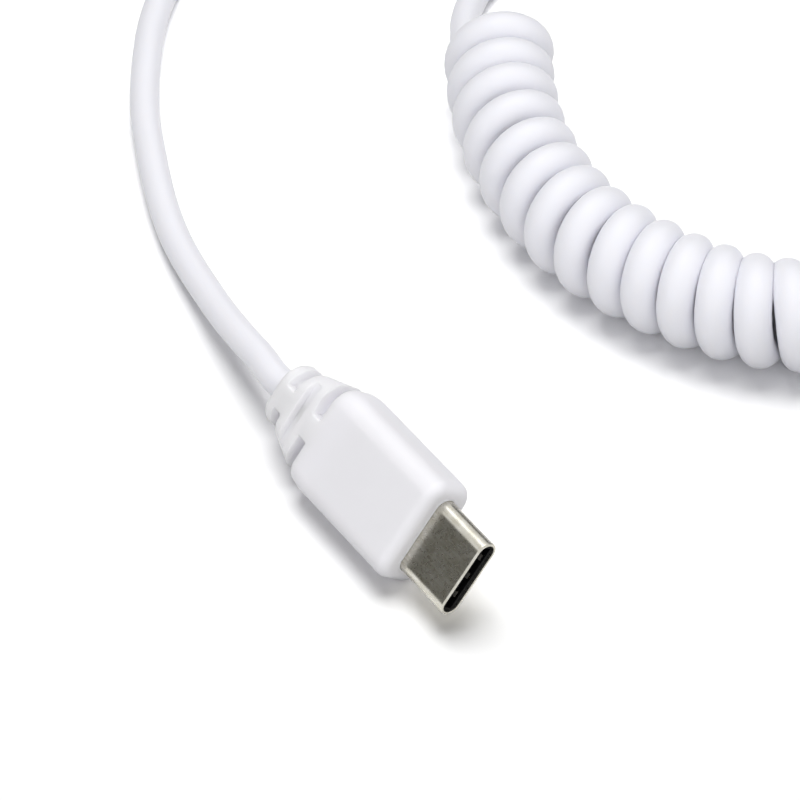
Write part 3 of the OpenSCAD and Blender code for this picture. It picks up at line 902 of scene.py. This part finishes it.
class CABLE_OT_stage(Operator):
    """Sets the camera, the white table and the studio's soft light"""
    bl_idname = "cable.stage"
    bl_label = "Stage"

    def execute(self, context):
        scene = context.scene
        camera_data = bpy.data.cameras.new("photograph_view")
        camera_data.sensor_fit = "HORIZONTAL"
        camera_data.sensor_width = 36.0
        camera_data.lens = CAMERA_LENS
        camera_data.clip_start = 0.01
        camera_data.clip_end = 10.0
        camera = bpy.data.objects.new("photograph_view", camera_data)
        scene.collection.objects.link(camera)
        right = Vector(CAMERA_RIGHT).normalized()
        forward = Vector(CAMERA_FORWARD).normalized()
        up = right.cross(forward)
        turn = Matrix((right, up, -forward)).transposed().to_4x4()
        camera.matrix_world = Matrix.Translation(Vector(CAMERA_AT) * MM) @ turn
        scene.camera = camera
        scene.view_settings.view_transform = "Standard"

        settings = scene.cable_stage
        floor = add_sheet("table_top", TABLE_REACH, table_material(settings.table_gain))
        for name, (where, size) in LAMPS.items():
            add_lamp(name, where, size, getattr(settings, name))
        grey = plastic("grey_studio_card", linear("8A877A"), 0.9, 2.0)
        for name, (where, size) in CARDS.items():
            add_card(name, where, size, grey)

        # The world is white where it is seen, through glass or in a reflection too, and dim as light.
        world = bpy.data.worlds.new("studio")
        scene.world = world
        world.use_nodes = True
        tree = world.node_tree
        tree.nodes.clear()
        rays = add_node(tree, "ShaderNodeLightPath")
        clear = add_node(tree, "ShaderNodeMath", {"operation": "MAXIMUM"},
                         links={0: rays.outputs["Is Camera Ray"],
                                1: rays.outputs["Is Transmission Ray"]})
        seen = add_node(tree, "ShaderNodeMath", {"operation": "MAXIMUM"},
                        links={0: clear.outputs[0], 1: rays.outputs["Is Glossy Ray"]})
        dim, white = (
            add_node(tree, "ShaderNodeBackground", values={"Color": (1, 1, 1, 1), "Strength": level})
            for level in (settings.ambient, 1.0))
        mix = add_node(tree, "ShaderNodeMixShader",
                       links={0: seen.outputs[0], 1: dim.outputs[0], 2: white.outputs[0]})
        add_node(tree, "ShaderNodeOutputWorld", links={"Surface": mix.outputs[0]})
        return {"FINISHED"}


def add_sheet(name, size, material):
    """A flat square sheet; size is half its side."""
    bm = bmesh.new()
    bmesh.ops.create_grid(bm, x_segments=2, y_segments=2, size=size)
    mesh = bpy.data.meshes.new(name)
    bm.to_mesh(mesh)
    bm.free()
    mesh.materials.append(material)
    sheet = bpy.data.objects.new(name, mesh)
    bpy.context.scene.collection.objects.link(sheet)
    return sheet


def add_lamp(name, where, size, power):
    """A square soft lamp aimed at the middle of the view; only the cable's key shows in the steel."""
    data = bpy.data.lights.new(name, "AREA")
    data.shape = "SQUARE"
    data.size = size
    data.energy = power
    lamp = bpy.data.objects.new(name, data)
    bpy.context.scene.collection.objects.link(lamp)
    at = photo_floor(*where) * MM
    aim = photo_floor(*LAMPS_AIM) * MM
    turn = (aim - at).to_track_quat("-Z", "Y").to_matrix().to_4x4()
    lamp.matrix_world = Matrix.Translation(at) @ turn
    lamp.visible_glossy = name == "cable_key"


def add_card(name, where, size, material):
    """An upright card beside the set, facing its middle, which only reflections show."""
    card = add_sheet(name, 0.5, material)
    at = photo_floor(*where) * MM
    aim = photo_floor(0, 0, where[2]) * MM
    turn = (aim - at).to_track_quat("Z", "Y").to_matrix().to_4x4()
    card.matrix_world = (Matrix.Translation(at) @ turn
                         @ Matrix.Diagonal((size[0], size[1], 1.0, 1.0)))
    card.visible_camera = card.visible_diffuse = card.visible_shadow = False


def table_material(gain):
    # Seamless white card, matt and even; camera and reflections see it exposed to the page's white.
    material, tree = new_material("white_card_table")
    rays = add_node(tree, "ShaderNodeLightPath")
    where = add_node(tree, "ShaderNodeTexCoord")
    card, seen = (add_node(tree, "ShaderNodeBsdfDiffuse",
                           links={"Color": tint(tree, where, 40.0, (level,) * 3, 0.002)})
                  for level in (CARD_WHITE, gain))
    exposed = add_node(tree, "ShaderNodeMath", {"operation": "MAXIMUM"},
                       links={0: rays.outputs["Is Camera Ray"], 1: rays.outputs["Is Glossy Ray"]})
    lit = add_node(tree, "ShaderNodeMixShader",
                   links={0: exposed.outputs[0], 1: card.outputs[0], 2: seen.outputs[0]})
    # Past the lamps' reach the card runs out into the white page.
    from_middle = add_node(tree, "ShaderNodeVectorMath", {"operation": "DISTANCE"},
                           {1: TABLE_MIDDLE * MM}, {0: where.outputs["Object"]})
    fade = add_node(tree, "ShaderNodeMapRange",
                    values={"From Min": TABLE_FADE[0], "From Max": TABLE_FADE[1]},
                    links={"Value": from_middle.outputs["Value"]})
    page = add_node(tree, "ShaderNodeBsdfTransparent")
    close(tree, add_node(tree, "ShaderNodeMixShader",
                         links={0: fade.outputs["Result"], 1: lit.outputs[0], 2: page.outputs[0]}))
    return material


class CABLE_OT_share_lamps(Operator):
    """Keeps the fills on the cable's pieces and gives cable and table each its share of the key"""
    bl_idname = "cable.share_lamps"
    bl_label = "Share out the lamps"

    def execute(self, context):
        table = bpy.data.collections.new("table_only")
        table.objects.link(bpy.data.objects["table_top"])
        cable = bpy.data.collections.new("cable_only")
        for piece in context.scene.objects:
            if piece.type == "MESH" and piece.name not in ("table_top", *CARDS):
                cable.objects.link(piece)
        for name in LAMPS:
            lamp = bpy.data.objects[name]
            lamp.light_linking.receiver_collection = table if name == "table_key" else cable
        return {"FINISHED"}


class CABLE_OT_declare(Operator):
    bl_idname = "cable.declare"
    bl_label = "Declare the cord"

    def execute(self, context):
        jacket = bpy.data.objects["jacket"]
        del jacket["cord_line"], jacket["cord_length"]
        nodes = frame["nodes"]
        on_it = [bpy.data.objects["far_molding"], bpy.data.objects["far_shell_skin"]]
        on_it += [nodes[n] for n in sorted(nodes) if n.startswith("far_") and any(
            word in n for word in ("insulator", "latch", "ground", "contact"))]
        return {"FINISHED"}


class CABLE_PT_panel(Panel):
    """Lists the steps in the 3D view's sidebar"""
    bl_idname = "CABLE_PT_panel"
    bl_label = "Coiled cable"
    bl_space_type = "VIEW_3D"
    bl_region_type = "UI"
    bl_category = "Cable"

    def draw(self, context):
        layout = self.layout
        for group in ("cable_cord", "cable_plug", "cable_finish", "cable_stage"):
            box = layout.box()
            settings = getattr(context.scene, group)
            for name in settings.__annotations__:
                box.prop(settings, name)
        for operator in STEPS:
            layout.operator(operator.bl_idname)


GROUPS = {"cable_cord": CordSizes, "cable_plug": PlugSizes, "cable_finish": Finishes,
          "cable_stage": StageSettings}
STEPS = (CABLE_OT_stage, CABLE_OT_cord, CABLE_OT_moldings, CABLE_OT_shells, CABLE_OT_inner_pieces,
         CABLE_OT_share_lamps, CABLE_OT_declare)


def register():
    for group, kind in GROUPS.items():
        bpy.utils.register_class(kind)
        setattr(bpy.types.Scene, group, PointerProperty(type=kind))
    for kind in STEPS + (CABLE_PT_panel,):
        bpy.utils.register_class(kind)


def unregister():
    for kind in (CABLE_PT_panel,) + STEPS[::-1]:
        bpy.utils.unregister_class(kind)
    for group, kind in GROUPS.items():
        delattr(bpy.types.Scene, group)
        bpy.utils.unregister_class(kind)


def main():
    register()
    bpy.ops.cable.stage()
    bpy.ops.cable.cord()
    bpy.ops.cable.moldings()
    bpy.ops.cable.shells()
    bpy.ops.cable.inner_pieces()
    bpy.ops.cable.share_lamps()
    bpy.ops.cable.declare()


if __name__ == "__main__":
    main()
